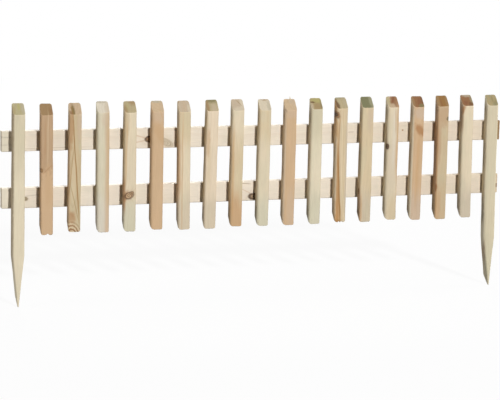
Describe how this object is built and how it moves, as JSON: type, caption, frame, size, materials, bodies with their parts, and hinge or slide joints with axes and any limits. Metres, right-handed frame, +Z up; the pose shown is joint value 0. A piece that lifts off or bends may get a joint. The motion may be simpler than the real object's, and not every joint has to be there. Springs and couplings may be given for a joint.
{
  "type": "picket border fence panel",
  "caption": "Low wooden picket panel for edging a flower bed: battens with sloping ends on the front of two rails, and a pointed stake at each end to drive into the ground.",
  "frame": {"origin": "on the front face of the left stake, on its centre line, at ground level", "axes": "+X along the fence to the right as seen from its front, +Y from the front to the back, +Z up"},
  "size_m": [1.2, 0.042, 0.462],
  "materials": {
    "batten_pine": "planed, pressure-treated pine, unpainted",
    "rail_pine": "planed, pressure-treated pine, unpainted"
  },
  "bodies": {
    "root": {"left_stake": "batten_pine", "picket_01": "batten_pine", "picket_02": "batten_pine", "picket_03": "batten_pine", "picket_04": "batten_pine", "picket_05": "batten_pine", "picket_06": "batten_pine", "picket_07": "batten_pine", "picket_08": "batten_pine", "picket_09": "batten_pine", "picket_10": "batten_pine", "picket_11": "batten_pine", "picket_12": "batten_pine", "picket_13": "batten_pine", "picket_14": "batten_pine", "picket_15": "batten_pine", "picket_16": "batten_pine", "picket_17": "batten_pine", "right_stake": "batten_pine", "upper_rail": "rail_pine", "lower_rail": "rail_pine"}
  },
  "joints": []
}
